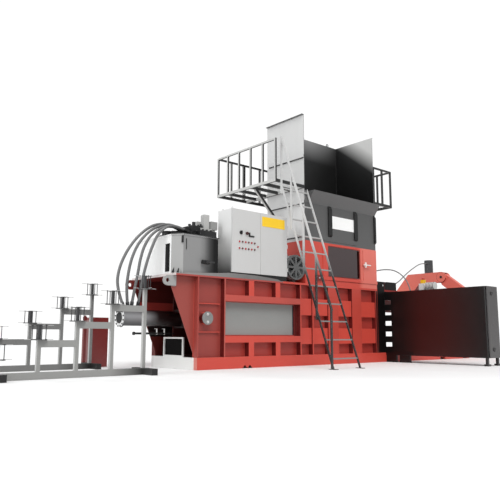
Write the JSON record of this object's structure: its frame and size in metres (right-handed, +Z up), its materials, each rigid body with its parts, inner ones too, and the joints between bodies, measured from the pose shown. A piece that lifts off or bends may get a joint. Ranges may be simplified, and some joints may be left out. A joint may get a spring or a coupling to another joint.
{
  "type": "automatic channel baler",
  "caption": "Automatic horizontal recycling baler: press box with ram, feed hopper with walkway and ladder, needle tying station, outlet channel with bale tensioner, wire spool racks.",
  "frame": {"origin": "middle of the footprint box on the ground plane, hoses left out", "axes": "+X along the machine from the wire racks behind the press towards the bale outlet, +Y away from the operator side, +Z up"},
  "size_m": [10.431, 3.97, 4.43],
  "materials": {
    "red_paint": "semi-gloss red enamel on welded steel plate",
    "light_grey_paint": "light grey enamel",
    "mid_grey_paint": "mid grey enamel, slightly dusty",
    "charcoal_paint": "satin charcoal enamel",
    "black_paint": "gloss black enamel",
    "dark_red_paint": "dark red enamel",
    "rail_black": "black powder coat",
    "galvanised": "galvanised steel, faint spangle",
    "bright_steel": "machined steel",
    "chromed_rod": "ground and chromed",
    "cast_black": "black cast iron",
    "motor_paint": "dark grey machinery paint",
    "black_plastic": "moulded black plastic",
    "red_plastic": "glossy red plastic",
    "hose_rubber": "grey-black hydraulic hose"
  },
  "bodies": {
    "frame": {"base_frame": "red_paint", "cabinet": "light_grey_paint", "channel_frame": "red_paint", "chute": "red_paint", "cooler_box": "dark_red_paint", "cylinder_pin": "bright_steel", "deck": "red_paint", "far_rack": "mid_grey_paint", "far_wall": "red_paint", "hopper_front": "charcoal_paint", "hopper_shell": "light_grey_paint", "hose_1": "hose_rubber", "hose_2": "hose_rubber", "hose_3": "hose_rubber", "hose_4": "hose_rubber", "hose_needle": "hose_rubber", "hose_tension": "hose_rubber", "ladder": "galvanised", "main_cylinder": "cast_black", "motor": "motor_paint", "near_rack": "mid_grey_paint", "near_wall": "red_paint", "needle_drive": "light_grey_paint", "needle_housing": "charcoal_paint", "oil_tank": "light_grey_paint", "pump": "cast_black", "railing": "rail_black", "rear_frame": "light_grey_paint", "tension_cylinder": "black_paint", "tying_station": "black_paint", "valve_block": "cast_black", "walkway": "rail_black", "walkway_mesh": "galvanised", "window_panel": "mid_grey_paint", "yoke": "red_paint"},
    "ram_body": {"ram": "red_paint", "cylinder_rod": "chromed_rod"},
    "inspection_door_body": {"inspection_door": "charcoal_paint"},
    "door_handle_body": {"door_handle": "bright_steel"},
    "valve_lever_body": {"ball_valve_lever": "black_paint"},
    "fan_body": {"motor_fan": "black_plastic"},
    "cabinet_left_body": {"cabinet_door_left": "light_grey_paint"},
    "cabinet_right_body": {"cabinet_door_right": "light_grey_paint"},
    "main_switch_body": {"main_switch": "black_plastic"},
    "stop_button_body": {"stop_button": "red_plastic"},
    "estop_body": {"estop_button": "red_plastic"},
    "needle_body": {"needle_carriage": "bright_steel"},
    "tension_lever_body": {"tension_lever": "red_paint"},
    "tension_rod_body": {"tension_rod": "chromed_rod"},
    "channel_flap_body": {"channel_flap": "red_paint"},
    "spool_near_1_body": {"spool_near_1": "bright_steel"},
    "spool_near_2_body": {"spool_near_2": "bright_steel"},
    "spool_near_3_body": {"spool_near_3": "bright_steel"},
    "spool_near_4_body": {"spool_near_4": "bright_steel"},
    "spool_near_5_body": {"spool_near_5": "bright_steel"},
    "spool_far_1_body": {"spool_far_1": "bright_steel"},
    "spool_far_2_body": {"spool_far_2": "bright_steel"},
    "spool_far_3_body": {"spool_far_3": "bright_steel"},
    "spool_far_4_body": {"spool_far_4": "bright_steel"},
    "spool_far_5_body": {"spool_far_5": "bright_steel"}
  },
  "joints": [
    {"name": "ram_slide", "type": "slide", "parent": "frame", "child": "ram_body", "axis": [1, 0, 0], "range_m": [0, 2.1]},
    {"name": "inspection_door_hinge", "type": "hinge", "parent": "frame", "child": "inspection_door_body", "pos_m": [0.5815, 0.083, 1.8], "axis": [0, 0, 1], "range_deg": [-110, 0]},
    {"name": "door_handle_turn", "type": "hinge", "parent": "frame", "child": "door_handle_body", "pos_m": [1.5655, 0.055, 1.8], "axis": [0, 1, 0], "range_deg": [0, 90]},
    {"name": "drain_valve_turn", "type": "hinge", "parent": "frame", "child": "valve_lever_body", "pos_m": [-2.1045, 0.023, 1.553], "axis": [0, 1, 0], "range_deg": [0, 90]},
    {"name": "motor_fan_spin", "type": "hinge", "parent": "frame", "child": "fan_body", "pos_m": [-0.214, 0.16, 1.625], "axis": [0, 1, 0], "continuous": true},
    {"name": "cabinet_left_hinge", "type": "hinge", "parent": "frame", "child": "cabinet_left_body", "pos_m": [-1.6005, 0.085, 1.946], "axis": [0, 0, 1], "range_deg": [-110, 0]},
    {"name": "cabinet_right_hinge", "type": "hinge", "parent": "frame", "child": "cabinet_right_body", "pos_m": [-0.4315, 0.085, 1.946], "axis": [0, 0, 1], "range_deg": [0, 45]},
    {"name": "main_switch_turn", "type": "hinge", "parent": "cabinet_left_body", "child": "main_switch_body", "pos_m": [-1.4245, 0.075, 2.077], "axis": [0, 1, 0], "range_deg": [0, 90]},
    {"name": "stop_button_press", "type": "slide", "parent": "cabinet_left_body", "child": "stop_button_body", "axis": [0, 1, 0], "range_m": [0, 0.006], "stiffness_N_per_m": 800},
    {"name": "estop_press", "type": "slide", "parent": "frame", "child": "estop_body", "axis": [0, 0, -1], "range_m": [0, 0.005], "stiffness_N_per_m": 1000, "springref_m": -0.004},
    {"name": "needle_slide", "type": "slide", "parent": "frame", "child": "needle_body", "axis": [0, 1, 0], "range_m": [0, 1.3]},
    {"name": "channel_flap_hinge", "type": "hinge", "parent": "frame", "child": "channel_flap_body", "pos_m": [2.7905, 0.125, 0.75], "axis": [0, 0, 1], "range_deg": [0, 2]},
    {"name": "tension_lever_hinge", "type": "hinge", "parent": "frame", "child": "tension_lever_body", "pos_m": [4.8555, 0.423, 1.814], "axis": [1, 0, 0], "range_deg": [0, 3.9]},
    {"name": "tension_rod_slide", "type": "slide", "parent": "frame", "child": "tension_rod_body", "axis": [0, 0, 1], "range_m": [0, 0.025]},
    {"name": "spool_near_1_spin", "type": "hinge", "parent": "frame", "child": "spool_near_1_body", "pos_m": [-3.2545, -0.183, 1.162], "axis": [0, 0, 1], "continuous": true},
    {"name": "spool_near_2_spin", "type": "hinge", "parent": "frame", "child": "spool_near_2_body", "pos_m": [-3.7035, -0.183, 0.946], "axis": [0, 0, 1], "continuous": true},
    {"name": "spool_near_3_spin", "type": "hinge", "parent": "frame", "child": "spool_near_3_body", "pos_m": [-4.1525, -0.183, 0.73], "axis": [0, 0, 1], "continuous": true},
    {"name": "spool_near_4_spin", "type": "hinge", "parent": "frame", "child": "spool_near_4_body", "pos_m": [-4.6015, -0.183, 0.514], "axis": [0, 0, 1], "continuous": true},
    {"name": "spool_near_5_spin", "type": "hinge", "parent": "frame", "child": "spool_near_5_body", "pos_m": [-5.0505, -0.183, 0.298], "axis": [0, 0, 1], "continuous": true},
    {"name": "spool_far_1_spin", "type": "hinge", "parent": "frame", "child": "spool_far_1_body", "pos_m": [-3.2295, 1.407, 1.162], "axis": [0, 0, 1], "continuous": true},
    {"name": "spool_far_2_spin", "type": "hinge", "parent": "frame", "child": "spool_far_2_body", "pos_m": [-3.6825, 1.407, 0.946], "axis": [0, 0, 1], "continuous": true},
    {"name": "spool_far_3_spin", "type": "hinge", "parent": "frame", "child": "spool_far_3_body", "pos_m": [-4.1355, 1.407, 0.73], "axis": [0, 0, 1], "continuous": true},
    {"name": "spool_far_4_spin", "type": "hinge", "parent": "frame", "child": "spool_far_4_body", "pos_m": [-4.5885, 1.407, 0.514], "axis": [0, 0, 1], "continuous": true},
    {"name": "spool_far_5_spin", "type": "hinge", "parent": "frame", "child": "spool_far_5_body", "pos_m": [-5.0415, 1.407, 0.298], "axis": [0, 0, 1], "continuous": true}
  ],
  "couplings": [
    {"joint": "tension_lever_hinge", "follows": "channel_flap_hinge", "ratio": 1.9407},
    {"joint": "tension_rod_slide", "follows": "channel_flap_hinge", "m_per_rad": 0.7123}
  ]
}
